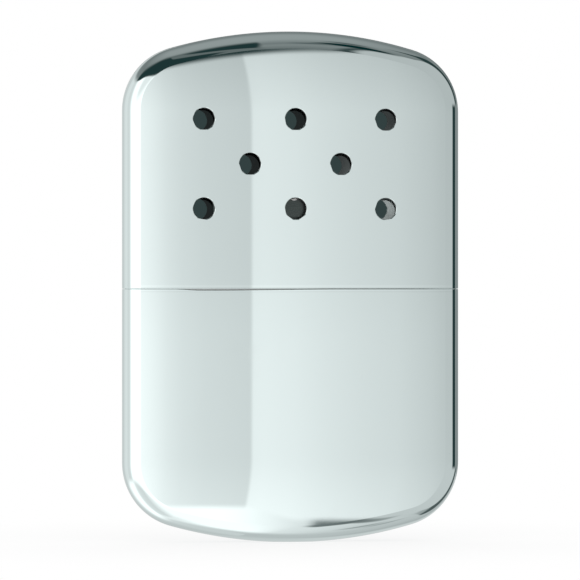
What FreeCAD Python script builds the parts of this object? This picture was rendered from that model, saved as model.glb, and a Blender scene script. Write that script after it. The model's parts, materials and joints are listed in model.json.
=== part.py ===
import FreeCAD, Part
import math
import os

# Catalytic hand warmer: a case of drawn sheet metal in two parts, the neck that the lid slides
# on, and a burner that lifts off the tank's mouth.
#
# Frame, in millimetres: +Z runs from the base to the lid's crown, +X is the width, -Y the front.
# The origin is the middle of the small foot that is pressed flat in the arched base.
#
# The case is one smooth form, divided at the seam. Every sheet metal wall of it is the
# difference of two insets of that form:
#   outline  seen from the front: straight sides, round corners and arched ends
#   faces    crowned across the width, straight up the middle, falling away towards both ends
#   edges    a round that runs along the whole outline, front and back

Vector = FreeCAD.Vector
ORIGIN, X_AXIS, Y_AXIS, Z_AXIS = Vector(), Vector(1, 0, 0), Vector(0, 1, 0), Vector(0, 0, 1)

# Case form
case_width = 66.8
case_height = 100.1
case_thickness = 12.7            # through the middle of the two faces
crown_radius = 185.0             # of each face, across the width
end_dome_radius = 150.0          # of each face, where it falls away towards an end
end_dome_length = 16.0
lid_arch_radius = 88.0
lid_corner_radius = 12.7
base_arch_radius = 89.0
base_corner_radius = 14.7
foot_depth = 0.1                 # pressed flat in the middle of the base, for the case to stand on
edge_round = 3.85
seam_height = 49.6

# Shells
case_sheet = 0.5
rim_round = 0.18                 # on the outer corner of the two edges that meet at the seam

# Vents, through the front and the back of the lid
vent_diameter = 4.2
vent_rows = 3
vents_in_wide_row = 3            # and one less in each row between
vent_pitch_x = 18.0
vent_pitch_z = 8.75
lowest_vents_above_seam = 15.7

# Tank cap, whose upper part is the neck
cap_sheet = 0.5
neck_clearance = 0.12            # to the inside of the lid and of the tank shell
neck_height = 9.6                # above the seam
neck_skirt = 8.0                 # below the seam
neck_shoulder_round = 1.6
detent_radius = 3.0
detent_height = 0.07
detent_spacing = 38.0
detent_above_seam = 5.2

# Collar in the tank's mouth
collar_length = 28.0
collar_width = 5.6
collar_sheet = 0.4
collar_above_cap = 4.4
collar_below_cap = 2.6
collar_flange = 0.9
collar_fit = 0.05                # in the hole of the cap

# Bridge across the mouth, which keeps the wadding down
bridge_sheet = 0.3
bridge_width = 2.4
bridge_leg = 1.8

# Wadding
wadding_clearance = 0.3

# Burner
burner_sheet = 0.4
burner_fit = 0.1                 # of the skirt on the collar, at the sides and the top
tray_ledge = 0.5                 # from the skirt out to the rim of the tray
tray_opening_inset = 1.5
tray_rim = 1.2
cover_fit = 0.05                 # on the rim of the tray
cover_height = 7.4
cover_top_round = 0.9
window_margin = 1.35
window_bars = 4
window_bar_width = 0.9
cover_vent_diameter = 1.8
cover_vents = 7
cover_vent_pitch = 3.5
cover_vent_height = 4.1          # above the lower edge of the cover
tab_height = 1.7                 # above the cap
tab_width = 4.6
tab_straight = 1.2
tab_curl_radius = 1.2
tab_curl_angle = 55.0

# Screens and catalyst mat, inside the burner
screen_thickness = 0.3
screen_fit = 0.15
screen_border = 0.6
screen_pitch = 2.1
screen_wire = 0.45
mat_clearance = 0.3
mat_round = 1.5

# Heights that follow
cap_top = seam_height + neck_height
collar_top = cap_top + collar_above_cap
collar_bottom = cap_top - collar_below_cap
tray_bottom = collar_top + burner_fit
tray_floor = tray_bottom + burner_sheet
cover_ceiling = tray_bottom + cover_height - burner_sheet

BEYOND = 400.0                   # more than any size here, for blocks that only cut


# Building blocks

def block(x_size, y_size, z_low, z_high, x_middle=0.0, y_middle=0.0):
    corner = Vector(x_middle - x_size / 2, y_middle - y_size / 2, z_low)
    return Part.makeBox(x_size, y_size, z_high - z_low, corner)


def arc_about(centre, start, end):
    """The shorter arc round a centre."""
    outward = ((start - centre) + (end - centre)).normalize()
    return Part.Arc(start, centre + outward * (start - centre).Length, end).toShape()


def filled(edges):
    return Part.Face(Part.Wire(Part.__sortEdges__(edges)))


def with_mirror_image(edges):
    return edges + [edge.mirror(ORIGIN, X_AXIS) for edge in edges]


def stadium(length, width, z_low, z_high):
    """An upright prism with straight sides along X and half-round ends."""
    radius = width / 2
    centre = Vector(length / 2 - radius, 0, z_low)
    near, far = centre - Y_AXIS * radius, centre + Y_AXIS * radius
    end = Part.Arc(near, centre + X_AXIS * radius, far).toShape()
    sides = [Part.makeLine(point, Vector(-point.x, point.y, z_low)) for point in (near, far)]
    return filled(with_mirror_image([end]) + sides).extrude(Z_AXIS * (z_high - z_low))


def stadium_tube(length, width, wall, z_low, z_high):
    inside = stadium(length - 2 * wall, width - 2 * wall, z_low, z_high)
    return stadium(length, width, z_low, z_high).cut(inside)


def rounded_at(shape, z, radius):
    """The shape with a round on the edges that lie level at one height."""
    level = [e for e in shape.Edges if abs(e.BoundBox.ZMin - z) + abs(e.BoundBox.ZMax - z) < 1e-3]
    return shape.makeFillet(radius, level)


def in_a_row(count, pitch):
    """Places along a line, evenly about its middle."""
    return [pitch * (i - (count - 1) / 2) for i in range(count)]


def cross_hole(diameter, x, z):
    """A cylinder from front to back."""
    return Part.makeCylinder(diameter / 2, BEYOND, Vector(x, -BEYOND / 2, z), Y_AXIS)


# The case form

def half_thickness_at(x, inset):
    return case_thickness / 2 - crown_radius + math.sqrt((crown_radius - inset) ** 2 - x ** 2)


def arched_end(tip_z, up, arch_radius, corner_radius, inset):
    """The edges of one end of the outline, and the point where its right-hand corner ends."""
    corner_x = case_width / 2 - corner_radius
    rise = math.sqrt((arch_radius - corner_radius) ** 2 - corner_x ** 2)
    arch_centre = Vector(0, 0, tip_z - up * arch_radius)
    corner_centre = Vector(corner_x, 0, arch_centre.z + up * rise)
    tip = Vector(0, 0, tip_z - up * inset)
    join = arch_centre + (corner_centre - arch_centre).normalize() * (arch_radius - inset)
    side = corner_centre + X_AXIS * (corner_radius - inset)
    return with_mirror_image([arc_about(arch_centre, tip, join), arc_about(corner_centre, join, side)]), side


def outline_prism(inset):
    """The outline seen from the front, moved inwards by inset, right through the thickness."""
    lid_end, lid_side = arched_end(case_height, 1, lid_arch_radius, lid_corner_radius, inset)
    base_end, base_side = arched_end(-foot_depth, -1, base_arch_radius, base_corner_radius, inset)
    sides = with_mirror_image([Part.makeLine(base_side, lid_side)])
    prism = filled(lid_end + base_end + sides).extrude(Y_AXIS * BEYOND)
    return prism.translated(Y_AXIS * -BEYOND / 2)


def behind_front_face(inset):
    """What lies behind the front face: straight up the middle, turned about an axis at each end."""
    low, high = end_dome_length, case_height - end_dome_length
    radius = crown_radius - inset
    reach = case_width / 2 + edge_round
    edge_y = -half_thickness_at(reach, inset)
    left, right = Vector(-reach, edge_y, low), Vector(reach, edge_y, low)
    crown = Vector(0, crown_radius - case_thickness / 2 - radius, low)
    back_left, back_right = Vector(-reach, case_thickness, low), Vector(reach, case_thickness, low)
    section = filled([Part.Arc(left, crown, right).toShape(), Part.makeLine(right, back_right),
                      Part.makeLine(back_right, back_left), Part.makeLine(back_left, left)])
    dome_axis_y = end_dome_radius - case_thickness / 2
    turn = math.degrees(math.asin((end_dome_length + edge_round) / (dome_axis_y - case_thickness)))
    middle = section.extrude(Z_AXIS * (high - low))
    base_end = section.revolve(Vector(0, dome_axis_y, low), X_AXIS, turn)
    lid_end = section.translated(Z_AXIS * (high - low)).revolve(Vector(0, dome_axis_y, high), X_AXIS, -turn)
    return middle.fuse([base_end, lid_end])


def largest_round(inset):
    """The edge round at an inset, no larger than the side wall has room for."""
    half_width = case_width / 2 - inset
    face_slope = math.asin(half_width / (crown_radius - inset))
    room = half_thickness_at(half_width, inset)
    return min(edge_round - inset, 0.99 * room / math.tan((math.pi / 2 - face_slope) / 2))


def case_form(inset):
    """The solid form of the whole case, with its surface moved inwards by inset."""
    front = behind_front_face(inset)
    form = outline_prism(inset).common(front).common(front.mirror(ORIGIN, Y_AXIS))
    return form.makeFillet(largest_round(inset), [e for e in form.Edges if is_outline_edge(e)])


def is_outline_edge(edge):
    """True where the outline's wall meets a face: on one side of the middle, and not across it."""
    box = edge.BoundBox
    across_face = box.ZLength < 1e-3 and box.XLength > case_width / 2
    return box.YMin * box.YMax > 0 and not across_face


def part_of_case(inset, z_low, z_high):
    return case_form(inset).common(block(BEYOND, BEYOND, z_low, z_high))


# Case

def vent_places():
    """Rows of vents, with each row between set in the gaps of the rows beside it."""
    lowest = seam_height + lowest_vents_above_seam
    return [(x, lowest + row * vent_pitch_z)
            for row in range(vent_rows)
            for x in in_a_row(vents_in_wide_row - row % 2, vent_pitch_x)]


def lid_shell():
    outside = rounded_at(part_of_case(0.0, seam_height, BEYOND), seam_height, rim_round)
    vents = [cross_hole(vent_diameter, x, z) for x, z in vent_places()]
    return outside.cut([case_form(case_sheet)] + vents)


def tank_shell():
    outside = rounded_at(part_of_case(0.0, 0.0, seam_height), seam_height, rim_round)
    return outside.cut(case_form(case_sheet))


def cap_form(inset, bottom, top, shoulder_round, pip_radius):
    """A filled tank cap, with the round pips that the lid grips."""
    form = rounded_at(part_of_case(inset, bottom, top), top, shoulder_round)
    skin = case_sheet + neck_clearance
    pips = []
    for x in in_a_row(2, detent_spacing):
        centre_y = half_thickness_at(x, skin) + detent_height - detent_radius
        pips += [Part.makeSphere(pip_radius, Vector(x, side * centre_y, seam_height + detent_above_seam))
                 for side in (-1, 1)]
    return form.fuse(pips)


def tank_cap():
    """Skirt, neck and shoulder in one drawing of sheet, with a hole for the collar."""
    skin = case_sheet + neck_clearance
    bottom = seam_height - neck_skirt
    outside = cap_form(skin, bottom, cap_top, neck_shoulder_round, detent_radius)
    inside = cap_form(skin + cap_sheet, bottom - BEYOND, cap_top - cap_sheet,
                      neck_shoulder_round - cap_sheet, detent_radius - cap_sheet)
    hole = stadium(collar_length + 2 * collar_fit, collar_width + 2 * collar_fit, collar_bottom, collar_top)
    return outside.cut([inside, hole])


def mouth_collar():
    """A tube through the cap, with a flange that bears on the underside of the cap."""
    tube = stadium_tube(collar_length, collar_width, collar_sheet, collar_bottom, collar_top)
    flange_top = cap_top - cap_sheet
    flange = stadium_tube(collar_length + 2 * collar_flange, collar_width + 2 * collar_flange,
                          collar_flange + collar_sheet / 2, flange_top - collar_sheet, flange_top)
    return tube.fuse(flange)


def mouth_bridge():
    """A strip across the mouth, with a leg up each side of the collar."""
    bottom = collar_bottom - bridge_sheet
    across = collar_width + 2 * bridge_sheet
    strip = block(bridge_width, across, bottom, collar_bottom)
    legs = block(bridge_width, across, bottom, bottom + bridge_leg)
    return strip.fuse(legs.cut(block(BEYOND, collar_width, collar_bottom, collar_top)))


def wadding():
    """It fills the tank shell and the inside of the cap, up to the bridge."""
    in_shell = part_of_case(case_sheet + wadding_clearance, -BEYOND,
                            seam_height - neck_skirt - wadding_clearance)
    in_cap = part_of_case(case_sheet + neck_clearance + cap_sheet + wadding_clearance,
                          end_dome_length, collar_bottom - bridge_sheet - wadding_clearance)
    return in_shell.fuse(in_cap)


# Burner

skirt_length = collar_length + 2 * (burner_fit + burner_sheet)
skirt_width = collar_width + 2 * (burner_fit + burner_sheet)
tray_length = skirt_length + 2 * tray_ledge
tray_width = skirt_width + 2 * tray_ledge
cover_length = tray_length + 2 * (cover_fit + burner_sheet)
cover_width = tray_width + 2 * (cover_fit + burner_sheet)


def finger_tab():
    """An ear on the end of the skirt, straight out and then curling up, with a round tip."""
    bend_x = skirt_length / 2 + tab_straight
    low = cap_top + tab_height
    high = low + burner_sheet
    centre = Vector(bend_x, 0, low + tab_curl_radius)
    root_x = (collar_length - collar_width) / 2
    angle = math.radians(tab_curl_angle)
    direction = Vector(math.sin(angle), 0, -math.cos(angle))
    under, over = Vector(bend_x, 0, low), Vector(bend_x, 0, high)
    tip_under = centre + direction * tab_curl_radius
    tip_over = centre + direction * (tab_curl_radius - burner_sheet)
    section = filled([
        Part.makeLine(Vector(root_x, 0, low), under), arc_about(centre, under, tip_under),
        Part.makeLine(tip_under, tip_over), arc_about(centre, tip_over, over),
        Part.makeLine(over, Vector(root_x, 0, high)),
        Part.makeLine(Vector(root_x, 0, high), Vector(root_x, 0, low)),
    ])
    strip = section.extrude(Y_AXIS * tab_width).translated(Y_AXIS * -tab_width / 2)
    ear = strip.common(stadium(2 * tip_under.x, tab_width, cap_top, collar_top))
    inside_skirt = stadium(skirt_length - 2 * burner_sheet, skirt_width - 2 * burner_sheet, cap_top, collar_top)
    return ear.cut(inside_skirt)


def burner_base():
    """The skirt that pushes over the collar, the tray on top of it and an ear at each end."""
    skirt = stadium_tube(skirt_length, skirt_width, burner_sheet, cap_top, tray_floor)
    ledge = stadium(tray_length, tray_width, tray_bottom, tray_floor)
    opening = stadium(skirt_length - 2 * (burner_sheet + tray_opening_inset),
                      skirt_width - 2 * (burner_sheet + tray_opening_inset), tray_bottom, tray_floor)
    rim = stadium_tube(tray_length, tray_width, burner_sheet, tray_bottom, tray_floor + tray_rim)
    ear = finger_tab()
    return skirt.fuse([ledge, rim, ear, ear.mirror(ORIGIN, X_AXIS)]).cut(opening)


def burner_cover():
    """An upturned cup over the tray, with a barred window on top and a row of holes in each side."""
    top = cover_ceiling + burner_sheet
    outside = rounded_at(stadium(cover_length, cover_width, tray_bottom, top), top, cover_top_round)
    inside = stadium(cover_length - 2 * burner_sheet, cover_width - 2 * burner_sheet, tray_bottom, cover_ceiling)
    inside = rounded_at(inside, cover_ceiling, cover_top_round - burner_sheet)
    window = stadium(cover_length - 2 * window_margin, cover_width - 2 * window_margin, cover_ceiling, top)
    bar_pitch = cover_length / (window_bars + 1)
    bars = [block(window_bar_width, cover_width, cover_ceiling, top, x)
            for x in in_a_row(window_bars, bar_pitch)]
    holes = [cross_hole(cover_vent_diameter, x, tray_bottom + cover_vent_height)
             for x in in_a_row(cover_vents, cover_vent_pitch)]
    return outside.cut([inside, window.cut(bars)] + holes)


def screen(length, width, z_low):
    """A flat oval of wire mesh: square openings inside a plain border."""
    z_high = z_low + screen_thickness
    opening = screen_pitch - screen_wire
    end_radius = width / 2 - screen_border
    end_centre = length / 2 - width / 2
    columns = int((length - 2 * screen_border) / screen_pitch)
    rows = int((width - 2 * screen_border + screen_wire) / screen_pitch)
    openings = []
    for x in in_a_row(columns, screen_pitch):
        for y in in_a_row(rows, screen_pitch):
            past_end = max(abs(x) + opening / 2 - end_centre, 0)
            if math.hypot(past_end, abs(y) + opening / 2) < end_radius:
                openings.append(block(opening, opening, z_low, z_high, x, y))
    return stadium(length, width, z_low, z_high).cut(openings)


def lower_screen():
    inset = 2 * (burner_sheet + screen_fit)
    return screen(tray_length - inset, tray_width - inset, tray_floor)


def upper_screen():
    inset = 2 * (cover_top_round + screen_fit)
    return screen(cover_length - inset, cover_width - inset, cover_ceiling - screen_thickness)


def catalyst_mat():
    """The fibre pad between the two screens."""
    inset = 2 * (burner_sheet + mat_clearance)
    top = cover_ceiling - screen_thickness - mat_clearance
    pad = stadium(tray_length - inset, tray_width - inset, tray_floor + screen_thickness, top)
    return rounded_at(pad, top, mat_round)


nodes = {
    "lid_shell": lid_shell(),
    "tank_shell": tank_shell(),
    "tank_cap": tank_cap(),
    "mouth_collar": mouth_collar(),
    "mouth_bridge": mouth_bridge(),
    "wadding": wadding(),
    "burner_base": burner_base(),
    "burner_cover": burner_cover(),
    "lower_screen": lower_screen(),
    "upper_screen": upper_screen(),
    "catalyst_mat": catalyst_mat(),
}

os.makedirs("parts", exist_ok=True)
for name, shape in nodes.items():
    shape.exportStep(f"parts/{name}.step")
    print(f"{name}: {len(shape.Solids)} solid, {shape.Volume:.1f} mm3, valid {shape.isValid()}")
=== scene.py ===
import bpy
import json
import math
import random
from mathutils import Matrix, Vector, noise
from mathutils.bvhtree import BVHTree
from mathutils.geometry import delaunay_2d_cdt

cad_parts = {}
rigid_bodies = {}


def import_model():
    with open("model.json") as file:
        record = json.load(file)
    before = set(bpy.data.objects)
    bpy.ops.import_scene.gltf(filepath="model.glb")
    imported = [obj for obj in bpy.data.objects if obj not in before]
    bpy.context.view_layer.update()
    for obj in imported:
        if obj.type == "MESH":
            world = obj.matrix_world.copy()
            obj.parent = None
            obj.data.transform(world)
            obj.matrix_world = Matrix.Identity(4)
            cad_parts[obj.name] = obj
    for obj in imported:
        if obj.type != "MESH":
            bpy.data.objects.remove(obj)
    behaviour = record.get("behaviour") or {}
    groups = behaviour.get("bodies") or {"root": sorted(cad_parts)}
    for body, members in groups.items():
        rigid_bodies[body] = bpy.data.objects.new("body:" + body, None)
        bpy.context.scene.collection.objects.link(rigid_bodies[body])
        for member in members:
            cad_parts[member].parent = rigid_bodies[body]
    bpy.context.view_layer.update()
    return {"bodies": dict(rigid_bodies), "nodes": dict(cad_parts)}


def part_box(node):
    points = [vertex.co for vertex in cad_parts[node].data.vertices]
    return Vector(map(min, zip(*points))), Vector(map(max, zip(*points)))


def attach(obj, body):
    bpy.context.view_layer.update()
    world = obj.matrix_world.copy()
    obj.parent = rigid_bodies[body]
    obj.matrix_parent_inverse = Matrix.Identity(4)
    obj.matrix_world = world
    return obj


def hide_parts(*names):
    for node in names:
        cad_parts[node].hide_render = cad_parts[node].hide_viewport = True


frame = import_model()
mm = 0.001
print("frame loaded,", len(frame["nodes"]), "nodes")


def placed(name, data):
    piece = bpy.data.objects.new(name, data)
    bpy.context.collection.objects.link(piece)
    return piece


def towards(azimuth, elevation=0.0):
    # direction from the case, in degrees from straight in front, more to the right
    a, e = math.radians(azimuth), math.radians(elevation)
    return Vector((math.sin(a) * math.cos(e), -math.cos(a) * math.cos(e), math.sin(e)))


def aimAgainst(thing, direction):
    thing.rotation_mode = "QUATERNION"
    thing.rotation_quaternion = (-direction).to_track_quat("-Z", "Y")


# shader graphs

class Value:
    # a socket that can be used in arithmetic
    def __init__(self, graph, socket):
        self.graph, self.socket = graph, socket

    def __add__(self, other):
        return self.graph.math("ADD", self, other)

    def __radd__(self, other):
        return self.graph.math("ADD", other, self)

    def __sub__(self, other):
        return self.graph.math("SUBTRACT", self, other)

    def __rsub__(self, other):
        return self.graph.math("SUBTRACT", other, self)

    def __mul__(self, other):
        return self.graph.math("MULTIPLY", self, other)

    def __rmul__(self, other):
        return self.graph.math("MULTIPLY", other, self)

    def __truediv__(self, other):
        return self.graph.math("DIVIDE", self, other)


class Graph:
    def __init__(self, tree):
        self.tree = tree
        tree.nodes.clear()

    def node(self, kind, settings=None, values=None):
        # settings first, then the values or links of the sockets
        made = self.tree.nodes.new(kind)
        for name, value in (settings or {}).items():
            if name == "stops":
                ramp = made.color_ramp
                while len(ramp.elements) < len(value):
                    ramp.elements.new(1.0)
                for element, (place, tone) in zip(ramp.elements, value):
                    element.position = place
                    element.color = (tone, tone, tone, 1)
            else:
                setattr(made, name, value)
        for name, value in (values or {}).items():
            if isinstance(value, Value):
                self.tree.links.new(value.socket, made.inputs[name])
            else:
                made.inputs[name].default_value = value
        return made

    def out(self, kind, settings=None, values=None, output=0):
        return Value(self, self.node(kind, settings, values).outputs[output])

    def math(self, operation, *terms):
        return self.out("ShaderNodeMath", {"operation": operation}, dict(enumerate(terms)))

    def clamped(self, value):
        # to between 0 and 1
        return self.out("ShaderNodeClamp", None, {"Value": value})

    def between(self, value, low, high):
        # 0 below low, 1 above high, smooth between
        return self.out("ShaderNodeMapRange", {"interpolation_type": "SMOOTHSTEP"},
                        {"Value": value, "From Min": low, "From Max": high})

    def mixed(self, share, first, second):
        colours = [(*c, 1) if isinstance(c, tuple) else c for c in (first, second)]
        return self.out("ShaderNodeMix", {"data_type": "RGBA"}, {0: share, 6: colours[0], 7: colours[1]}, 2)

    def parts(self, vector):
        # x, y and z of a vector
        return [Value(self, s) for s in self.node("ShaderNodeSeparateXYZ", None, {0: vector}).outputs]

    def place(self):
        # on the piece, in metres
        return self.out("ShaderNodeTexCoord", None, None, "Object")

    def noise(self, scale, detail=3.0, rough=0.55, stretch=(1, 1, 1)):
        place = self.out("ShaderNodeMapping", None, {"Vector": self.place(), "Scale": stretch})
        return self.out("ShaderNodeTexNoise", None,
                        {"Vector": place, "Scale": scale, "Detail": detail, "Roughness": rough}, "Fac")

    def bump(self, height, distance):
        return self.out("ShaderNodeBump", None, {"Height": height, "Distance": distance})

    def surface(self, **sockets):
        shader = self.out("ShaderNodeBsdfPrincipled", None,
                          {name: (*v, 1) if isinstance(v, tuple) else v for name, v in sockets.items()})
        self.node("ShaderNodeOutputMaterial", None, {"Surface": shader})


def newMaterial(name):
    material = bpy.data.materials.new(name)
    material.use_nodes = True
    return material, Graph(material.node_tree)


# case form, in millimetres

case = {
    "width": 66.8,
    "height": 100.1,
    "thickness": 12.7,
    "crownRadius": 185.0,  # of the faces, across
    "domeRadius": 150.0,  # of the faces, along, where they fall away to both ends
    "domeLength": 16.0,
    "lidArch": 88.0,
    "lidCorner": 12.7,
    "baseArch": 89.0,
    "baseCorner": 12.9,
    "footDepth": 0.1,  # the arch of the base is pressed flat by this
    "edgeRound": 3.85,
    "seam": 49.6,
    "sheet": 0.5,
    "archSteps": 26,
    "cornerSteps": 22,
    "edgeSteps": 14,
    "acrossSteps": 44,
    "gridStep": 1.5,  # between the points of a face
    "gridRow": 0.87,  # from row to row, as a share of that
    "gridClear": 0.6,  # from the outline of the face, as a share of it
}

rim = {
    "levels": 7,  # rows of faces between the waist and the end of the straight part
    "lidEnd": 62.2,  # straight part of each shell, up to the lowest vents or down to the corners
    "tankEnd": 17.2,
    "waistLength": 0.75,  # a shallow waist runs round each shell next to the seam
    "waistDepth": 0.006,
    "waistAt": 0.3,
    "waistSteps": 16,
    "turnRadius": 0.09,
    "turnSteps": 5,
    "flatShort": 0.05,  # the flat end of the sheet stops this far from the inner skin
    "gap": 0.035,  # from each rim to the seam line
    "innerGap": 0.04,  # more of it at the inner skin
    "touch": 0.01,  # the gap where the halves touch, near both edges in front
    "touchRight": (23, 30),
    "touchLeft": (20.5, 25),
    "front": (1, 2.5),  # how far out the front begins, and has all of its wear
    "sunk": 0.27,  # how far the tank's rim has sunk in front, left of the middle
    "sunkDown": (-23.5, -18.5),
    "sunkBack": (-18, 10),
    "raised": 0.03,  # how far the lid's rim has come up in front, on the right
    "raisedUp": (0, 8),
}

vents = {
    "radius": 2.1,
    "pitchX": 18.0,
    "pitchZ": 8.75,
    "lowest": 65.3,
    "rows": ((-1, 0, 1), (-0.5, 0.5), (-1, 0, 1)),  # from the lowest up, in pitches from the middle
    "lip": 0.2,
    "lipSteps": 4,
    "innerLip": 0.07,
    "innerLipSteps": 3,
    "around": 56,
    "rings": ((0.4, 40), (1.0, 26)),  # points of the face round a bore: distance and number
    "gridClear": 1.55,
}

chromeSide, bareSide = 0, 1  # which of a shell's two materials a face has


def same(v):
    return v.copy()


def behind(v):
    # the mirror image on the back of the case
    return Vector((v.x, -v.y, v.z))


def mirrored(v):
    return Vector((-v.x, v.y, v.z))


def turned(side, pairs):
    return [(side(p), side(n)) for p, n in pairs]


def smooth(value, low, high):
    share = min(max((value - low) / (high - low), 0), 1)
    return share * share * (3 - 2 * share)


def faceAt(x, z, inset):
    # place and outward direction of the front face, at an inset from the outside
    domeAxis = case["domeRadius"] - case["thickness"] / 2
    radius = case["crownRadius"] - inset
    sinAcross = x / radius
    cosAcross = math.sqrt(1 - sinAcross ** 2)
    reach = domeAxis + case["thickness"] / 2 - case["crownRadius"] + radius * cosAcross
    past = max(z - case["height"] + case["domeLength"], 0) + min(z - case["domeLength"], 0)
    sinAlong = past / reach
    cosAlong = math.sqrt(1 - sinAlong ** 2)
    return (Vector((x, domeAxis - reach * cosAlong, z)),
            Vector((sinAcross, -cosAcross * cosAlong, cosAcross * sinAlong)))


def outlineHalf(up, end):
    # right half of the outline, edgeRound inside it, from the tip down to a height on the straight side
    if up > 0:
        tip, arch, corner = case["height"], case["lidArch"], case["lidCorner"]
    else:
        tip, arch, corner = -case["footDepth"], case["baseArch"], case["baseCorner"]
    cornerX = case["width"] / 2 - corner
    archZ = tip - up * arch
    rise = math.sqrt((arch - corner) ** 2 - cornerX ** 2)
    join = math.atan2(rise, cornerX)
    archReach, cornerReach = arch - case["edgeRound"], corner - case["edgeRound"]
    spots = []
    for i in range(case["archSteps"]):
        angle = math.pi / 2 + (join - math.pi / 2) * i / case["archSteps"]
        spots.append((math.cos(angle) * archReach, archZ + up * math.sin(angle) * archReach, angle))
    for i in range(case["cornerSteps"] + 1):
        angle = join * (1 - i / case["cornerSteps"])
        spots.append((cornerX + math.cos(angle) * cornerReach,
                      archZ + up * (rise + math.sin(angle) * cornerReach), angle))
    sideX, cornerZ = spots[-1][:2]
    steps = max(1, round(abs(cornerZ - end) / case["gridStep"]))
    spots += [(sideX, cornerZ + (end - cornerZ) * (i + 1) / steps, 0.0) for i in range(steps)]
    return [(Vector((x, 0, z)), Vector((math.cos(a), 0, up * math.sin(a)))) for x, z, a in spots]


def edgeColumn(spot, inset, sense):
    # round the edge of the case at one spot of the outline, from the front face to the back
    place, outward = spot
    core, facing = faceAt(abs(place.x), place.z, case["edgeRound"])
    column = []
    for i in range(case["edgeSteps"] + 1):
        direction = facing.slerp(outward, i / case["edgeSteps"])
        column.append((core + direction * (case["edgeRound"] - inset), direction * sense))
    return column + turned(behind, reversed(column))


def levelLoop(z, inset, sense):
    # once round the straight part at one height: front from left to right, right edge, back, left edge
    spot = (Vector((case["width"] / 2 - case["edgeRound"], 0, z)), Vector((1, 0, 0)))
    right = edgeColumn(spot, inset, sense)
    half, steps = right[0][0].x, case["acrossSteps"]
    front = []
    for i in range(1, steps):
        place, facing = faceAt(half * (2 * i / steps - 1), z, inset)
        front.append((place, facing * sense))
    return front + right + turned(behind, reversed(front)) + turned(mirrored, reversed(right))


class Skin:
    # a mesh with its own smooth directions, gathered point by point in millimetres
    def __init__(self):
        self.points, self.normals, self.faces, self.known = [], [], [], {}
        self.finish, self.finishes = chromeSide, []  # finish is for the next faces

    def add(self, point, normal):
        key = (*(round(c, 4) for c in point), *(round(c, 2) for c in normal))
        if key not in self.known:
            self.known[key] = len(self.points)
            self.points.append(Vector(point))
            self.normals.append(Vector(normal).normalized())
        return self.known[key]

    def row(self, pairs):
        return [self.add(p, n) for p, n in pairs]

    def face(self, corners):
        corners = [c for i, c in enumerate(corners) if c != corners[i - 1]]
        if len(corners) < 3:
            return
        a, b, c = (self.points[i] for i in corners[:3])
        turn = (b - a).cross(c - a)
        if len(corners) == 4:
            turn += (c - a).cross(self.points[corners[3]] - a)
        facing = sum((self.normals[i] for i in corners), Vector())
        self.faces.append(corners if turn.dot(facing) > 0 else corners[::-1])
        self.finishes.append(self.finish)

    def strip(self, first, second, closed=False):
        count = len(first)
        for i in range(count if closed else count - 1):
            j = (i + 1) % count
            self.face([first[i], first[j], second[j], second[i]])

    def build(self, name, materials, floor=None):
        if floor is not None:
            for p in self.points:
                p.z = max(p.z, floor)
        mesh = bpy.data.meshes.new(name)
        mesh.from_pydata([p * mm for p in self.points], [], self.faces)
        mesh.update()
        mesh.normals_split_custom_set_from_vertices(self.normals)
        for material in materials:
            mesh.materials.append(material)
        mesh.polygons.foreach_set("material_index", self.finishes)
        return placed(name, mesh)


def ventPlaces():
    return [(x * vents["pitchX"], vents["lowest"] + row * vents["pitchZ"])
            for row, across in enumerate(vents["rows"]) for x in across]


def ventRow(place, inset, sense, turn):
    # once round a vent, from the skin (turn 0) over its lip to the bore (turn 1)
    lip = vents["lip"] if sense > 0 else vents["innerLip"]
    angle = turn * math.pi / 2
    row = []
    for i in range(vents["around"]):
        around = 2 * math.pi * i / vents["around"]
        radial = Vector((math.cos(around), 0, math.sin(around)))
        start = Vector((place[0], 0, place[1])) + radial * (vents["radius"] + lip)
        skin, facing = faceAt(start.x, start.z, inset)
        point = skin - radial * lip * math.sin(angle) + Vector((0, sense * lip * (1 - math.cos(angle)), 0))
        row.append((point, facing * sense * math.cos(angle) - radial * math.sin(angle)))
    return row


def nearVent(spot, holes, reach):
    return any(math.hypot(spot.x - x, spot.y - z) < reach for x, z in holes)


def isInside(spot, outline, middle):
    for a, b in zip(outline, outline[1:] + outline[:1]):
        edge = b - a
        if edge.cross(spot - a) * edge.cross(middle - a) < 0:
            return False
    return True


def gridPlaces(outline, holes):
    # staggered rows of places inside an outline, clear of it and of the vents
    middle = sum(outline, Vector((0, 0))) / len(outline)
    low, high = min(p.y for p in outline), max(p.y for p in outline)
    right = max(p.x for p in outline)
    step, share, clear = case["gridStep"], case["gridRow"], vents["radius"] + vents["gridClear"]
    places = []
    for j in range(1, int((high - low) / (step * share)) + 1):
        z = low + j * step * share
        for i in range(-int(right / step) - 1, int(right / step) + 2):
            spot = Vector(((i + 0.5 * (j % 2)) * step, z))
            if abs(spot.x) > right or z > high or nearVent(spot, holes, clear):
                continue
            if min((spot - p).length for p in outline) < case["gridClear"] * step:
                continue
            if isInside(spot, outline, middle):
                places.append((spot.x, z))
    return places


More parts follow.
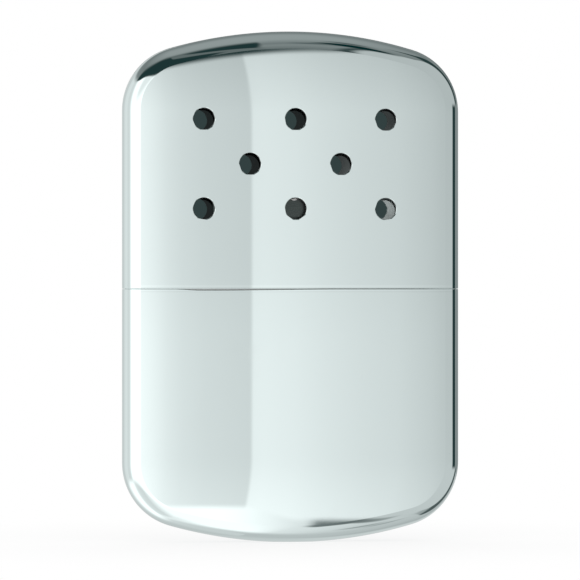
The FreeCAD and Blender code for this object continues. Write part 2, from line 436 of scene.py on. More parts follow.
def coverFace(skin, boundary, inset, sense, side, holes):
    # a fine triangle mesh over one face, inside a boundary and round the vents
    flat, ids = [], []

    def take(point, normal):
        flat.append(Vector((point.x, point.z)))
        ids.append(skin.add(side(point), side(normal)))

    def takeFace(x, z):
        point, facing = faceAt(x, z, inset)
        take(point, facing * sense)

    for point, normal in boundary:
        take(point, normal)
    edges = [(i, (i + 1) % len(boundary)) for i in range(len(boundary))]
    for place in holes:
        start = len(flat)
        for point, normal in ventRow(place, inset, sense, 0):
            take(point, normal)
        edges += [(start + i, start + (i + 1) % vents["around"]) for i in range(vents["around"])]
        for extra, count in vents["rings"]:
            reach = vents["radius"] + extra
            for i in range(count):
                around = 2 * math.pi * (i + 0.5) / count
                takeFace(place[0] + reach * math.cos(around), place[1] + reach * math.sin(around))
    for x, z in gridPlaces([Vector((p.x, p.z)) for p, n in boundary], holes):
        takeFace(x, z)
    made, _, triangles, source, _, _ = delaunay_2d_cdt(flat, edges, [], 0, 1e-5, True)
    for triangle in triangles:
        centre = sum((made[i] for i in triangle), Vector((0, 0))) / 3
        if not nearVent(centre, holes, vents["radius"]):
            skin.face([ids[source[i][0]] for i in triangle])


def boreVents(skin, holes):
    # over the outer lip, through the sheet and over the inner lip
    outer, inner = vents["lipSteps"], vents["innerLipSteps"]
    turns = [(0, 1, i / outer) for i in range(outer + 1)]
    turns += [(case["sheet"], -1, i / inner) for i in range(inner, -1, -1)]
    for place in holes:
        for side in (same, behind):
            rows = [skin.row(turned(side, ventRow(place, *turn))) for turn in turns]
            for i, (a, b) in enumerate(zip(rows, rows[1:])):
                skin.finish = chromeSide if i < outer else bareSide
                skin.strip(a, b, closed=True)


def waist(height):
    # depth of the waist at a height over the rim, and its slope
    if height < rim["waistAt"]:
        share, scale = height / rim["waistAt"], 1 / rim["waistAt"]
    else:
        scale = -1 / (rim["waistLength"] - rim["waistAt"])
        share = 1 + (height - rim["waistAt"]) * scale
    depth = rim["waistDepth"] * share ** 2 * (3 - 2 * share)
    return depth, rim["waistDepth"] * 6 * share * (1 - share) * scale


def gapAt(place, up):
    # the worn halves don't meet evenly in front
    x, gap = place.x, rim["gap"]
    if place.y > -rim["front"][0]:
        return gap
    if up < 0:
        gap += rim["sunk"] * smooth(x, *rim["sunkDown"]) * (1 - smooth(x, *rim["sunkBack"]))
    else:
        gap += rim["raised"] * smooth(x, *rim["raisedUp"])
    tight = max(smooth(x, *rim["touchRight"]), smooth(-x, *rim["touchLeft"]))
    return gap + (rim["touch"] - gap) * tight * smooth(-place.y, *rim["front"])


def rimRows(skin, up):
    # the outer skin dips into the waist, comes out again and turns over to the flat end of the sheet
    radius, length = rim["turnRadius"], rim["waistLength"]
    rows = []
    for i in range(1, rim["waistSteps"] + 1):
        height = length + (radius - length) * i / rim["waistSteps"]
        depth, slope = waist(height)
        rows.append((height, depth, -math.atan(slope)))
    depth = rows[-1][1]
    for i in range(1, rim["turnSteps"] + 1):
        tilt = math.pi / 2 * i / rim["turnSteps"]
        rows.append((radius * (1 - math.sin(tilt)), depth + radius * (1 - math.cos(tilt)), tilt))
    rows.append((0, case["sheet"] - rim["flatShort"], math.pi / 2))
    made = []
    for height, inwards, tilt in rows:
        row = []
        for p, n in levelLoop(case["seam"] + up * height, 0, 1):
            shift = Vector((0, 0, up * gapAt(p, up) * (1 - height / length)))
            row.append((p - n * inwards + shift, n * math.cos(tilt) + Vector((0, 0, -up * math.sin(tilt)))))
        made.append(skin.row(row))
    return made


def innerRim(skin, up, inset, sense):
    return skin.row([(p + Vector((0, 0, up * (gapAt(p, up) + rim["innerGap"]))), n)
                     for p, n in levelLoop(case["seam"], inset, sense)])


def drawnShell(up, holes):
    # one half of the case: outer skin, turned rim at the seam, inner skin and the bores of the vents
    skin = Skin()
    end = rim["lidEnd"] if up > 0 else rim["tankEnd"]
    right = outlineHalf(up, end)
    rimEnds = []
    for inset, sense in ((0, 1), (case["sheet"], -1)):
        skin.finish = chromeSide if sense > 0 else bareSide
        rightColumns = [edgeColumn(spot, inset, sense) for spot in right]
        columns = [turned(mirrored, column) for column in rightColumns[:0:-1]] + rightColumns
        rows = [skin.row(column) for column in columns]
        for a, b in zip(rows, rows[1:]):
            skin.strip(a, b)
        straight = levelLoop(end, inset, sense)[:case["acrossSteps"] - 1]
        boundary = [column[0] for column in columns] + straight[::-1]
        for side in (same, behind):
            coverFace(skin, boundary, inset, sense, side, holes)
        reach, levels = case["seam"] + up * rim["waistLength"] - end, rim["levels"]
        rows = [skin.row(levelLoop(end + reach * i / levels, inset, sense)) for i in range(levels + 1)]
        rows += rimRows(skin, up) if sense > 0 else [innerRim(skin, up, inset, sense)]
        for a, b in zip(rows, rows[1:]):
            skin.finish = bareSide if sense < 0 or b is rows[-1] else chromeSide
            skin.strip(a, b, closed=True)
        rimEnds.append(rows[-1])
    skin.strip(*rimEnds, closed=True)
    boreVents(skin, holes)
    return skin


# chrome outside and bare sheet inside

chrome = {
    "colour": (0.765, 0.855, 0.85),
    "smudged": (0.70, 0.76, 0.75),
    "smudge": 0.06,
    "roughness": 0.02,
    "handling": 0.03,  # more roughness in the smudges
    "lines": 0.012,  # and in the polishing lines
    "ripple": 0.0000012,  # height of the faint unevenness that polishing leaves, in metres
}

inside = {
    # the dark colour is painted shade inside the case
    "paintedShade": (0.035, 0.042, 0.042),
    "bare": (0.66, 0.73, 0.72),
    "unshadedRight": (0.007, 0.019),  # how far right the painted shade ends, in metres
    "paintedShadeUp": (0.066, 0.083),  # and how high up it begins again there
    "paintedShadeShare": 0.88,
    "roughness": 0.38,
    "metallic": 0.5,
}


def chromeMaterial():
    material, g = newMaterial("polishedChrome")
    smudge = g.between(g.noise(55, 5, 0.65), 0.50, 0.72)
    lines = g.noise(900, 4, 0.7, (1, 1, 0.06))
    g.surface(**{
        "Base Color": g.mixed(smudge * chrome["smudge"], chrome["colour"], chrome["smudged"]),
        "Metallic": 1.0,
        "Roughness": g.clamped(chrome["roughness"] + smudge * chrome["handling"] + lines * chrome["lines"]),
        "Normal": g.bump(g.noise(60, 1.5, 0.4), chrome["ripple"]),
    })
    return material


def insideMaterial():
    # unpolished sheet, with painted shade everywhere but low down on the right
    material, g = newMaterial("sheetInside")
    x, _, z = g.parts(g.place())
    # painted shade: dark over the whole inside, except low down on the right
    upper = g.between(z, *inside["paintedShadeUp"]) * inside["paintedShadeShare"]
    unshaded = g.between(x, *inside["unshadedRight"]) * (1.0 - upper)
    blotch = g.between(g.noise(120, 4, 0.6), 0.35, 0.65)
    g.surface(**{
        "Base Color": g.mixed(unshaded * (0.65 + blotch * 0.35), inside["paintedShade"], inside["bare"]),
        "Metallic": inside["metallic"],
        "Roughness": g.clamped(inside["roughness"] + (g.noise(400, 4, 0.6) - 0.5) * 0.2),
        "Normal": g.bump(g.noise(1500, 3, 0.6), 0.000008),
    })
    return material


chromePlate, sheetInside = chromeMaterial(), insideMaterial()
lid = drawnShell(1, ventPlaces()).build("lidShell", [chromePlate, sheetInside])
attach(lid, "lid")
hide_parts("lid_shell")
tank = drawnShell(-1, []).build("tankShell", [chromePlate, sheetInside], floor=0.0)
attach(tank, "tank")
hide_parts("tank_shell")
print("case shells:", len(lid.data.polygons), "and", len(tank.data.polygons), "faces")


# nickel neck, collar and bridge

nickel = {
    "colour": (0.62, 0.63, 0.61),
    "stain": (0.49, 0.48, 0.44),
    # painted shade on the neck, in the gap of the seam and below it
    "seamShade": (0.40, 0.43, 0.43),
    "seamShadeTop": (0.0498, 0.0504),  # the painted shade fades out over these heights, just over the seam
    "roughness": 0.30,
}


def nickelMaterial():
    material, g = newMaterial("satinNickel")
    z = g.parts(g.place())[2]
    brushed = g.noise(1400, 4, 0.7, (1, 1, 0.04))
    stain = g.between(g.noise(90, 4, 0.6), 0.45, 0.75)
    # painted shade: the neck is darker below the seam, where the gap shades it
    seamShade = 1.0 - g.between(z + (g.noise(500, 3, 0.6) - 0.5) * 0.0006, *nickel["seamShadeTop"])
    plate = g.mixed(stain * 0.35, nickel["colour"], nickel["stain"])
    g.surface(**{
        "Base Color": g.mixed(seamShade * 0.85, plate, nickel["seamShade"]),
        "Metallic": 1.0,
        "Roughness": g.clamped(nickel["roughness"] + (brushed - 0.5) * 0.16 + stain * 0.08),
        "Normal": g.bump(brushed, 0.000006),
    })
    return material


def dress(piece, material):
    piece.data.materials.clear()
    piece.data.materials.append(material)


nickelPlate = nickelMaterial()
for node in ("tank_cap", "mouth_collar", "mouth_bridge"):
    dress(frame["nodes"][node], nickelPlate)
print("neck, collar and bridge finished")


# burner

burner = {
    "steel": (0.56, 0.55, 0.53),
    "straw": (0.58, 0.44, 0.25),
    "blue": (0.26, 0.30, 0.42),
    "heatFrom": 0.0655,  # the tint begins at this height, in metres
    "heatReach": 0.0056,  # and is full this far over it
    "roughness": 0.27,
}

gauze = {
    "colour": (0.46, 0.43, 0.39),
    "burnt": (0.24, 0.21, 0.19),
    "roughness": 0.34,
    "wire": 0.14,
    "wireSides": 6,
    "pitch": 0.55,
    "pitchSteps": 4,  # points along a wire from one crossing to the next
    "wave": 0.07,
    "hem": 0.5,  # width of the pressed edge
    "hemHeight": 0.28,
    "hemSteps": 40,
    "hemSides": 12,
}


def burnerMaterial():
    # brushed sheet whose top has been tinted by heat
    material, g = newMaterial("heatTintedSteel")
    z = g.parts(g.place())[2]
    brushed = g.noise(1100, 4, 0.7, (0.05, 1, 1))
    heat = g.clamped((z - burner["heatFrom"]) / burner["heatReach"] + (g.noise(170, 4, 0.6) - 0.5) * 1.1)
    tint = g.mixed(g.between(heat, 0.15, 0.75), burner["steel"], burner["straw"])
    g.surface(**{
        "Base Color": g.mixed(g.between(heat, 0.70, 1.0), tint, burner["blue"]),
        "Metallic": 1.0,
        "Roughness": g.clamped(burner["roughness"] + (brushed - 0.5) * 0.16 + heat * 0.06),
        "Normal": g.bump(brushed, 0.000006),
    })
    return material


def wireMaterial():
    material, g = newMaterial("wovenWire")
    heat = g.between(g.noise(240, 4, 0.6), 0.35, 0.65)
    g.surface(**{
        "Base Color": g.mixed(heat, gauze["colour"], gauze["burnt"]),
        "Metallic": 1.0,
        "Roughness": g.clamped(gauze["roughness"] + heat * 0.14),
        "Normal": g.bump(g.noise(6000, 3, 0.6), 0.000004),
    })
    return material


class Threads:
    # many thin tubes in one mesh, in millimetres
    def __init__(self, sides):
        self.sides, self.points, self.faces = sides, [], []

    def tube(self, path, radius, closed=False, section=None):
        # section holds offsets across the path, as sideways and upwards
        sides = len(section) if section else self.sides
        start, count = len(self.points), len(path)
        for i, point in enumerate(path):
            before = path[i - 1] if i or closed else point
            after = path[(i + 1) % count] if i < count - 1 or closed else point
            along = (after - before).normalized()
            sideways = along.cross(Vector((0, 0, 1)))
            sideways = sideways.normalized() if sideways.length > 0.05 else along.orthogonal().normalized()
            upwards = sideways.cross(along)
            for k in range(sides):
                turn = 2 * math.pi * k / sides
                across, over = section[k] if section else (radius * math.cos(turn), radius * math.sin(turn))
                self.points.append(point + sideways * across + upwards * over)
        for i in range(count if closed else count - 1):
            a, b = start + i * sides, start + (i + 1) % count * sides
            self.faces += [(a + k, a + (k + 1) % sides, b + (k + 1) % sides, b + k) for k in range(sides)]
        if not closed:
            self.faces += [tuple(start + k for k in reversed(range(sides))),
                           tuple(start + (count - 1) * sides + k for k in range(sides))]

    def build(self, name, material):
        mesh = bpy.data.meshes.new(name)
        mesh.from_pydata([p * mm for p in self.points], [], self.faces)
        mesh.shade_smooth()
        mesh.materials.append(material)
        return placed(name, mesh)


def pressedHem(threads, straight, radius, middle):
    # a flattened ring, round both ends of the oval
    path = []
    for side in (1, -1):
        for k in range(gauze["hemSteps"] + 1):
            turn = math.pi * (k / gauze["hemSteps"] - 0.5)
            x, y = straight + radius * math.cos(turn), radius * math.sin(turn)
            path.append(Vector((side * x, side * y, middle)))
    a, b, sides = gauze["hem"] / 2, gauze["hemHeight"] / 2, gauze["hemSides"]
    section = [(a * max(-1, min(1, 1.25 * math.cos(t))), b * max(-1, min(1, 1.6 * math.sin(t))))
               for t in (2 * math.pi * (k + 0.5) / sides for k in range(sides))]
    threads.tube(path, 0, closed=True, section=section)


def wovenGauze(name, node, material):
    # wires over and under each other inside a pressed hem, in the oval of the node
    low, high = (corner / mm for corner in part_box(node))
    middle, length, width = (low.z + high.z) / 2, high.x - low.x, high.y - low.y
    pitch, fine, wave, wire = gauze["pitch"], gauze["pitchSteps"], gauze["wave"], gauze["wire"] / 2
    radius = width / 2 - gauze["hem"] / 2
    straight = length / 2 - width / 2
    threads = Threads(gauze["wireSides"])
    rows, columns = int(radius / pitch), int((straight + radius) / pitch)

    def rise(along, across):
        return wave * math.cos(math.pi * (along / fine + across))

    for j in range(-rows, rows + 1):
        reach = straight + math.sqrt(radius ** 2 - (j * pitch) ** 2)
        steps = int(reach / pitch * fine)
        threads.tube([Vector((i * pitch / fine, j * pitch, middle + rise(i, j)))
                      for i in range(-steps, steps + 1)], wire)
    for i in range(-columns, columns + 1):
        past = max(abs(i * pitch) - straight, 0)
        steps = int(math.sqrt(radius ** 2 - past ** 2) / pitch * fine)
        if steps:
            threads.tube([Vector((i * pitch, j * pitch / fine, middle - rise(j, i)))
                          for j in range(-steps, steps + 1)], wire)
    pressedHem(threads, straight, radius, middle)
    piece = threads.build(name, material)
    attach(piece, "burner")
    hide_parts(node)


tintedSteel, wovenWire = burnerMaterial(), wireMaterial()
for node in ("burner_base", "burner_cover"):
    dress(frame["nodes"][node], tintedSteel)
for name, node in (("lowerGauze", "lower_screen"), ("upperGauze", "upper_screen")):
    wovenGauze(name, node, wovenWire)
print("burner finished, with two woven gauzes")


# catalyst pad and cotton

pad = {
    "colour": (0.50, 0.50, 0.49),
    "shade": (0.27, 0.27, 0.27),
    "grain": 500,
    "voxel": 0.25,
    "lumps": 0.22,
    "lumpScale": 0.9,
    "fibres": 620,
    "fibreColour": (0.68, 0.68, 0.66),
    "fibreShade": (0.45, 0.45, 0.44),
    "fibreGrain": 900,
    "fibreRadius": 0.022,
    "fibreSteps": 9,
}

cotton = {
    "colour": (0.83, 0.80, 0.72),
    "shade": (0.66, 0.61, 0.50),
    "grain": 260,
    "voxel": 0.8,
    "lumps": 0.7,
    "lumpScale": 0.35,
    "fibres": 700,
    "fibreRadius": 0.03,
    "fibreSteps": 11,
    "tuftsOver": 54,  # they show in the mouth of the tank, over this height
    "tuftsWithin": 15,  # and this near to its middle
}

lay = {
    "curl": 0.35,
    "wander": 0.25,
    "lift": 0.09,
    "stride": 12,  # from point to point, in radii of the fibre
}


def fibreMaterial(name, colour, shade, grain):
    material, g = newMaterial(name)
    clumps = g.between(g.noise(grain, 5, 0.65), 0.35, 0.65)
    strands = g.noise(grain * 9, 4, 0.7, (1, 1, 0.3))
    g.surface(**{
        "Base Color": g.mixed(clumps * 0.5 + strands * 0.4, colour, shade),
        "Roughness": g.clamped(0.86 + (strands - 0.5) * 0.2),
        "Normal": g.bump(strands, 0.00006),
        "Sheen Weight": 0.25,
        "Sheen Roughness": 0.5,
    })
    return material


def teased(name, node, soft, material):
    # the node's form with an even mesh, pulled in by soft lumps and small pits
    piece = placed(name, frame["nodes"][node].data.copy())
    modifier = piece.modifiers.new("remesh", "REMESH")
    modifier.mode = "VOXEL"
    modifier.voxel_size = soft["voxel"] * mm
    shape = bpy.data.meshes.new_from_object(piece.evaluated_get(bpy.context.evaluated_depsgraph_get()))
    piece.modifiers.clear()
    piece.data = shape
    for vertex in shape.vertices:
        spot = vertex.co / mm * soft["lumpScale"]
        lump, pit = noise.noise(spot) * 0.5 + 0.5, noise.noise(spot * 4.7) * 0.5 + 0.5
        vertex.co -= vertex.normal * (lump * 0.6 + pit * 0.4) * soft["lumps"] * mm
    shape.shade_smooth()
    dress(piece, material)
    return piece


def laidFibres(name, piece, soft, material, keep=None):
    # curling fibres that lie on a piece
    chance = random.Random(7)
    tree = BVHTree.FromPolygons([v.co / mm for v in piece.data.vertices],
                                [p.vertices for p in piece.data.polygons])
    centres = [p.center / mm for p in piece.data.polygons]
    centres = [c for c in centres if keep is None or keep(c)]
    radius, steps = soft["fibreRadius"], soft["fibreSteps"]
    threads = Threads(4)
    for _ in range(soft["fibres"]):
        spot = chance.choice(centres)
        ahead = Vector((chance.uniform(-1, 1), chance.uniform(-1, 1), chance.uniform(-1, 1))).normalized()
        curl, lift = chance.uniform(-lay["curl"], lay["curl"]), chance.uniform(0, lay["lift"])
        path = []
        for i in range(steps):
            spot, normal, _, _ = tree.find_nearest(spot)
            arc = math.sin(math.pi * i / (steps - 1))
            path.append(spot + normal * (radius + lift * arc))
            ahead = (ahead - normal * ahead.dot(normal)).normalized()
            bend = curl + chance.uniform(-lay["wander"], lay["wander"])
            ahead = (ahead + normal.cross(ahead) * bend).normalized()
            spot = spot + ahead * radius * lay["stride"]
        threads.tube(path, radius)
    return threads.build(name, material)


def inMouth(spot):
    return spot.z > cotton["tuftsOver"] and abs(spot.x) < cotton["tuftsWithin"]


glassWool = fibreMaterial("platinumGlassWool", pad["colour"], pad["shade"], pad["grain"])
glassFibre = fibreMaterial("glassFibre", pad["fibreColour"], pad["fibreShade"], pad["fibreGrain"])
catalyst = teased("catalystPad", "catalyst_mat", pad, glassWool)
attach(catalyst, "burner")
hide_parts("catalyst_mat")
padFibres = laidFibres("padFibres", catalyst, pad, glassFibre)
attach(padFibres, "burner")

cottonWool = fibreMaterial("cottonWool", cotton["colour"], cotton["shade"], cotton["grain"])
stuffing = teased("cottonWadding", "wadding", cotton, cottonWool)
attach(stuffing, "tank")
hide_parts("wadding")
tufts = laidFibres("cottonTufts", stuffing, cotton, cottonWool, keep=inMouth)
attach(tufts, "tank")
print("catalyst pad and cotton teased")


# studio: the room that the chrome shows, in degrees round the case and in degrees of height. An edge
# is a place and its softness, and a list of tones gives places and their brightness.

walls = {
    "under": [(-180, 0.62), (-160, 0.66), (-140, 0.75), (-126, 1.0), (-110, 1.3), (-12, 1.32), (2, 1.22),
              (6, 1.08), (10, 0.90), (20, 0.80), (30, 0.72), (60, 0.62), (100, 0.58), (130, 0.50),
              (150, 0.72), (180, 0.66)],
    "over": [(-90, 0.1), (12, 0.20), (15, 0.20), (26, 0.24), (34, 0.27), (46, 0.22), (58, 0.29), (72, 0.36),
             (90, 0.37)],
    "overFrom": (3, 9),
    "floor": (0.72, 0.60),  # on the left and on the right
    "floorChange": (-10, 30),
    "floorEdge": (-70, 12),
    # a lighter wall behind the case on the left
    "behind": [(-180, 0.70), (-150, 0.68), (-138, 0.70), (-126, 0.84), (-103, 0.88), (-98, 0.80),
               (-82, 0.80)],
    "behindEdge": (-72, 4),
    "behindHeight": ((-20, 4), (33, 4)),
}

leftCard = {
    "tone": 1.35,
    "sides": ((-77, 9), (0, 4)),
    "foot": (-66, 9),
    "top": (31.5, 0.9),
    "topFall": (-60, 0.0092, -8.0),  # it falls in a curve from here, this fast and to this height
    "dim": 0.38,  # how much dimmer its upper part is near the front
    "dimFrom": (-46, 9),
    "dimOver": (10, 5),
    "low": [(-95, 1.0), (-75, 0.93), (-60, 0.84), (-42, 0.80), (-30, 0.98), (-18, 1.25)],
    "lowEdge": (-19, 4),
}

darkOver = {
    # the dark over the left card, and a paler streak down its right end
    "tone": 0.04,
    "sides": ((-88, 7), (3.6, 0.9)),
    "foot": (0.8, 1.2),  # over the top of the card
    "top": (59.0, 9),
    "topFall": (-45.0, 0.33),
    "streak": 0.17,
    "streakAt": 1.0,
    "streakLean": (24.0, 0.85),  # it leans left from this height, this fast
    "streakWidth": (3.4, 1.5),
    "streakHeight": ((12, 2), (58, 6)),
}

rightCard = {
    "middle": (66, 4),
    "reach": (49, 1.4),
    "tones": (0.66, 0.56),  # of its lower and upper half
    "halves": (0, 5),
    "upperShort": 0.8,  # how much less the upper half reaches
    "farShort": 4.5,  # and the part far round
    "farFrom": (42, 18),
    # the dark gap round it: tone, width and strength, in the lower and the upper half
    "gapTones": (0.11, 0.05),
    "gapSoft": 1.3,
    "gapWidths": ([(10, 11), (14, 10.5), (17, 7), (20, 4.4), (32, 4.6), (60, 8.5), (75, 12), (90, 15.5)],
                  [(10, 2.6), (34, 2.6), (60, 12), (75, 15.5)]),
    "gapShares": ([(10.6, 0), (11.4, 0.35), (12.4, 0.86), (18, 0.9), (25, 0.75), (31, 0.55), (36, 0.06),
                   (46, 0.06), (56, 0.36), (72, 0.45), (82, 1)],
                  [(10, 0.9), (28, 0.9), (34, 0.05), (73, 0.05), (83, 1)]),
}

darkThings = {
    # overhead and underneath: azimuth, height, reach, softness, tone
    "spots": [(31.5, 48, 7.5, 2.5, 0.025), (17, 45, 3.5, 2.5, 0.13), (42, 60, 4.0, 3.0, 0.12),
              (37, -52, 4.0, 2.5, 0.40), (52, -56, 3.5, 2.5, 0.42)],
    # at the level of the case, on the right: tone and sides
    "slots": [(0.29, ((111, 5), (165, 10))), (0.04, ((80, 5), (107, 5)))],
    "slotHeight": (7, 2),
}

nearWalls = {
    # beside the camera, with a step between them, brighter towards the floor
    "left": [(-14, 1.25), (-12, 1.12), (-10, 1.02), (-8, 0.90), (-6, 0.83), (-3, 0.78), (3.2, 0.73)],
    "right": [(3.2, 0.95), (5, 0.955), (9, 0.92), (13, 0.86), (18, 0.80), (23, 0.755), (26, 0.70),
              (29, 0.64)],
    "step": (3.2, 0.3),
    "bow": 0.009,  # how much they bend away with height
    "bright": 1.04,
    "dimOver": (-0.2, 0.5),
    "dim": 0.04,
    "fade": 0.0155,
    "sides": ((-13.5, 1.5), (29.5, 2)),
    "foot": (-9.4, 0.6),
    "footDrop": 2.05,  # how much lower it is on the right
    "footChange": (6, 4),
    "top": (11.8, 0.5),
    "topFall": (11.3, 0.0068, 30.0), # it falls in a curve to the left of here, this fast and this far
    # the dark line over them
    "line": [(-3, 0.05), (2, 0.04), (4, 0.055), (6, 0.095), (9, 0.13), (12, 0.17), (14.5, 0.075),
             (22, 0.03)],
    "lineSides": ((-4, 2), (17.5, 1.5)),
    "lineFoot": (-1, 0.6),
    "lineTop": (13.0, 0.6),
    "lineRise": (14.0, 1.2),
}

rays = {
    "plain": 1.0,  # what lights the matt surfaces
    "shadeThroughVents": 0.14,  # painted shade: how much of the room the parts behind a vent show
    # painted shade, seen through both rows of vents instead of the white background
    "shadeBehindVents": (0.033, 0.052, 0.052),
    "cool": 0.025,  # how much cooler the darker parts of the room are
}


class Room:
    # the light from every direction, painted over in layers, the lowest first
    def __init__(self, graph):
        self.graph = graph
        self.direction = graph.out("ShaderNodeTexCoord", None, None, "Generated")
        x, y, z = graph.parts(self.direction)
        self.around = graph.math("DEGREES", graph.math("ARCTAN2", x, 0.0 - y))
        self.height = graph.math("DEGREES", graph.math("ARCSINE", z))
        self.light = self.tones(self.around, walls["under"], -180, 180)

    def tones(self, value, stops, low, high, scale=2.0):
        places = [((at - low) / (high - low), tone / scale) for at, tone in stops]
        place = (value - low) / (high - low)
        return self.graph.out("ShaderNodeValToRGB", {"stops": places}, {"Fac": place}) * scale

    def above(self, value, edge, soft):
        return self.graph.between(value, edge - soft, edge + soft)

    def below(self, value, edge, soft):
        return 1.0 - self.above(value, edge, soft)

    def band(self, value, low, high):
        return self.above(value, *low), self.below(value, *high)

    def positive(self, value):
        return self.graph.math("MAXIMUM", value, 0.0)

    def over(self, light, tone, *masks):
        share = masks[0]
        for mask in masks[1:]:
            share = share * mask
        return light + (tone - light) * share

    def paint(self, tone, *masks):
        self.light = self.over(self.light, tone, *masks)

    def awayFrom(self, azimuth, elevation):
        cosine = self.graph.out("ShaderNodeVectorMath", {"operation": "DOT_PRODUCT"},
                                {0: self.direction, 1: towards(azimuth, elevation)}, "Value")
        return self.graph.math("DEGREES", self.graph.math("ARCCOSINE", cosine))


def paintWalls(room):
    around, height = room.around, room.height
    left, right = walls["floor"]
    floor = left + (right - left) * room.above(around, *walls["floorChange"])
    room.paint(floor, room.below(height, *walls["floorEdge"]))
    room.paint(room.tones(height, walls["over"], -90, 90), room.above(height, *walls["overFrom"]))
    room.paint(room.tones(around, walls["behind"], -180, 180), room.below(around, *walls["behindEdge"]),
               *room.band(height, *walls["behindHeight"]))


def paintLeftCard(room):
    # white card, cut off in a curve towards the front, under the dark and its streak
    around, height = room.around, room.height
    start, speed, least = leftCard["topFall"]
    past = room.positive(around - start)
    top, topSoft = leftCard["top"]
    cardTop = room.graph.math("MAXIMUM", top - past * past * speed, least)
    top, darkSoft = darkOver["top"]
    start, speed = darkOver["topFall"]
    darkTop = top - room.positive(start - around) * speed
    room.paint(darkOver["tone"], *room.band(around, *darkOver["sides"]),
               room.above(height - cardTop, *darkOver["foot"]), room.below(height - darkTop, 0, darkSoft))
    start, speed = darkOver["streakLean"]
    aside = room.graph.math("ABSOLUTE", around - darkOver["streakAt"] + room.positive(height - start) * speed)
    room.paint(darkOver["streak"], room.below(aside, *darkOver["streakWidth"]),
               *room.band(height, *darkOver["streakHeight"]))
    dim = room.above(around, *leftCard["dimFrom"]) * room.above(height, *leftCard["dimOver"])
    low = room.tones(around, leftCard["low"], -95, -18)
    card = room.over(leftCard["tone"] - dim * leftCard["dim"], low, room.below(height, *leftCard["lowEdge"]))
    room.paint(card, *room.band(around, *leftCard["sides"]), room.below(height - cardTop, 0, topSoft),
               room.above(height, *leftCard["foot"]))


def paintRightCard(room):
    # grey card with a dark gap round it
    around, height = room.around, room.height
    reach, soft = rightCard["reach"]
    away = room.awayFrom(*rightCard["middle"])
    low = room.below(height, *rightCard["halves"])
    high = 1.0 - low
    far = room.above(around, *rightCard["farFrom"])
    inner = reach - rightCard["upperShort"] * high - far * rightCard["farShort"]
    gaps = zip((low, high), rightCard["gapTones"], rightCard["gapWidths"], rightCard["gapShares"])
    for half, tone, widths, shares in gaps:
        width = room.tones(around, widths, 0, 120, 16)
        room.paint(tone, room.below(away - inner - width, 0, rightCard["gapSoft"]), half,
                   room.tones(around, shares, 0, 120, 1))
    lower, upper = rightCard["tones"]
    room.paint(upper + (lower - upper) * low, room.below(away - inner, 0, soft))


def paintDarkThings(room):
    for azimuth, elevation, reach, soft, tone in darkThings["spots"]:
        room.paint(tone, room.below(room.awayFrom(azimuth, elevation), reach, soft))
    level = room.below(room.graph.math("ABSOLUTE", room.height), *darkThings["slotHeight"])
    for tone, sides in darkThings["slots"]:
        room.paint(tone, level, *room.band(room.around, *sides))


def paintNearWalls(room):
    around, height = room.around, room.height
    bowed = around + height * height * nearWalls["bow"]
    left = room.tones(bowed, nearWalls["left"], -14, 3.2)
    right = room.tones(bowed, nearWalls["right"], 3.2, 29)
    dim = room.above(height, *nearWalls["dimOver"]) * nearWalls["dim"] + height * nearWalls["fade"]
    front = room.over(left, right, room.above(bowed, *nearWalls["step"])) * (nearWalls["bright"] - dim)
    top, topSoft = nearWalls["top"]
    start, speed, most = nearWalls["topFall"]
    past = room.positive(room.graph.math("MINIMUM", start - around, most))
    wallTop = top - past * past * speed
    top, lineSoft = nearWalls["lineTop"]
    start, speed = nearWalls["lineRise"]
    lineTop = top + room.positive(around - start) * speed
    room.paint(room.tones(around, nearWalls["line"], -20, 30, 1),
               room.above(height - wallTop, *nearWalls["lineFoot"]),
               room.below(height - lineTop, 0, lineSoft), *room.band(around, *nearWalls["lineSides"]))
    drop = room.above(around, *nearWalls["footChange"]) * nearWalls["footDrop"]
    room.paint(front, *room.band(around, *nearWalls["sides"]),
               room.above(height + drop, *nearWalls["foot"]), room.below(height - wallTop, 0, topSoft))


def lightStudio():
    world = bpy.data.worlds.new("studio")
    bpy.context.scene.world = world
    world.use_nodes = True
    g = Graph(world.node_tree)
    room = Room(g)
    for paint in (paintWalls, paintLeftCard, paintRightCard, paintDarkThings, paintNearWalls):
        paint(room)
    outputs = g.node("ShaderNodeLightPath").outputs
    camera, diffuse, glossy, films = (Value(g, outputs[name]) for name in (
        "Is Camera Ray", "Is Diffuse Ray", "Is Glossy Ray", "Transparent Depth"))
    room.paint(rays["plain"], diffuse)
    # painted shade: what lies behind a vent shows a dimmed room, and camera rays through both films see a
    # dark colour
    room.paint(room.light * rays["shadeThroughVents"], glossy, g.math("GREATER_THAN", films, 0.5))
    red = room.light * (1 + rays["cool"]) - rays["cool"]
    cool = g.out("ShaderNodeCombineColor", None, {0: red, 1: room.light, 2: room.light})
    seen = g.mixed(g.math("GREATER_THAN", films, 1.5), (1.0, 1.0, 1.0), rays["shadeBehindVents"])
    background = g.out("ShaderNodeBackground", None, {"Color": g.mixed(camera, cool, seen), "Strength": 1.0})
    g.node("ShaderNodeOutputWorld", None, {"Surface": background})


def flatPiece(name, corners, material):
    mesh = bpy.data.meshes.new(name)
    mesh.from_pydata(corners, [], [(0, 1, 2, 3)])
    mesh.materials.append(material)
    piece = placed(name, mesh)
    return piece


paper = {
    "half": 3,  # of its width, in metres
    "white": 0.97,
    "shade": 0.22,  # how much of the shadow it keeps
    "near": 0.035,
    "far": 0.11,
}

film = {
    "half": 0.021,  # of its width, in metres
    "depth": 0.0046,  # from the middle of the case
    "foot": 0.0506,
    "top": 0.090,
}

lamp = {
    "azimuth": -8.0,
    "elevation": 1.0,
    "distance": 0.9,
    "aim": (0.004, 0, 0.0735),
    "cone": 4.2,  # degrees across, just over the vents
    "blend": 0.4,
    "power": 27.0,
}

view = {
    "azimuth": -9.0,
    "lens": 300.0,
    "picture": 580,  # size of the picture, in pixels
    "pixelsPerMillimetre": 5.085,
    "objectMiddle": (290.85, 541.1),  # where the foot of the case is in it
}


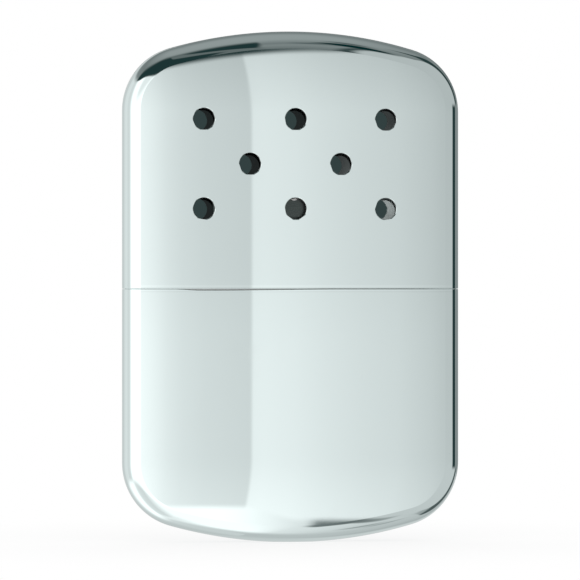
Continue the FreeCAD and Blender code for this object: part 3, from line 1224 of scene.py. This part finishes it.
def layFloor():
    # white paper that keeps the shadow near the case and runs out into plain white
    material, g = newMaterial("whitePaper")
    x, y, _ = g.parts(g.place())
    reach = g.math("SQRT", x * x + y * y)
    glow = 1.0 - (1.0 - g.between(reach, paper["near"], paper["far"])) * paper["shade"]
    tone, half = paper["white"], paper["half"]
    matt = g.out("ShaderNodeBsdfDiffuse", None, {"Color": (tone, tone, tone, 1)})
    white = g.out("ShaderNodeEmission", None, {"Color": (1, 1, 1, 1), "Strength": 1.0})
    surface = g.out("ShaderNodeMixShader", None, {0: glow, 1: matt, 2: white})
    g.node("ShaderNodeOutputMaterial", None, {"Surface": surface})
    corners = [(-half, -half, 0), (half, -half, 0), (half, half, 0), (-half, half, 0)]
    flatPiece("floor", corners, material).visible_glossy = False


def hangFilms():
    # clear films behind both rows of vents, through which the world shows painted shade: a dimmed room inside
    # the case and a dark colour behind it
    material, g = newMaterial("clearFilm")
    clear = g.out("ShaderNodeBsdfTransparent", None, {0: (1, 1, 1, 1)})
    g.node("ShaderNodeOutputMaterial", None, {"Surface": clear})
    half, foot, top = film["half"], film["foot"], film["top"]
    for name, y in (("frontFilm", -film["depth"]), ("rearFilm", film["depth"])):
        corners = [(-half, y, foot), (half, y, foot), (half, y, top), (-half, y, top)]
        piece = flatPiece(name, corners, material)
        piece.parent = frame["bodies"]["lid"]
        for ray in ("diffuse", "glossy", "transmission", "volume_scatter", "shadow"):
            setattr(piece, "visible_" + ray, False)


def hangLamp():
    # a small lamp beside the camera that shines in through the vents
    data = bpy.data.lights.new("ventLamp", "SPOT")
    data.energy = lamp["power"]
    data.spot_size = math.radians(lamp["cone"])
    data.spot_blend = lamp["blend"]
    data.shadow_soft_size = 0
    light = placed("ventLamp", data)
    back = towards(lamp["azimuth"], lamp["elevation"])
    light.location = Vector(lamp["aim"]) + back * lamp["distance"]
    aimAgainst(light, back)
    light.visible_glossy = False


def placeCamera():
    data = bpy.data.cameras.new("camera")
    data.lens = view["lens"]
    data.clip_start, data.clip_end = 0.01, 100
    camera = placed("camera", data)
    bpy.context.scene.camera = camera
    back, right = towards(view["azimuth"]), towards(view["azimuth"] + 90)
    pixel = mm / view["pixelsPerMillimetre"]
    distance = view["picture"] * pixel * data.lens / data.sensor_width
    acrossShift, height = ((at - view["picture"] / 2) * pixel for at in view["objectMiddle"])
    camera.location = back * distance - right * acrossShift + Vector((0, 0, height))
    aimAgainst(camera, back)


lightStudio()
layFloor()
hangFilms()
hangLamp()
placeCamera()
bpy.context.scene.view_settings.view_transform = "Standard"
print("studio lit, camera placed")
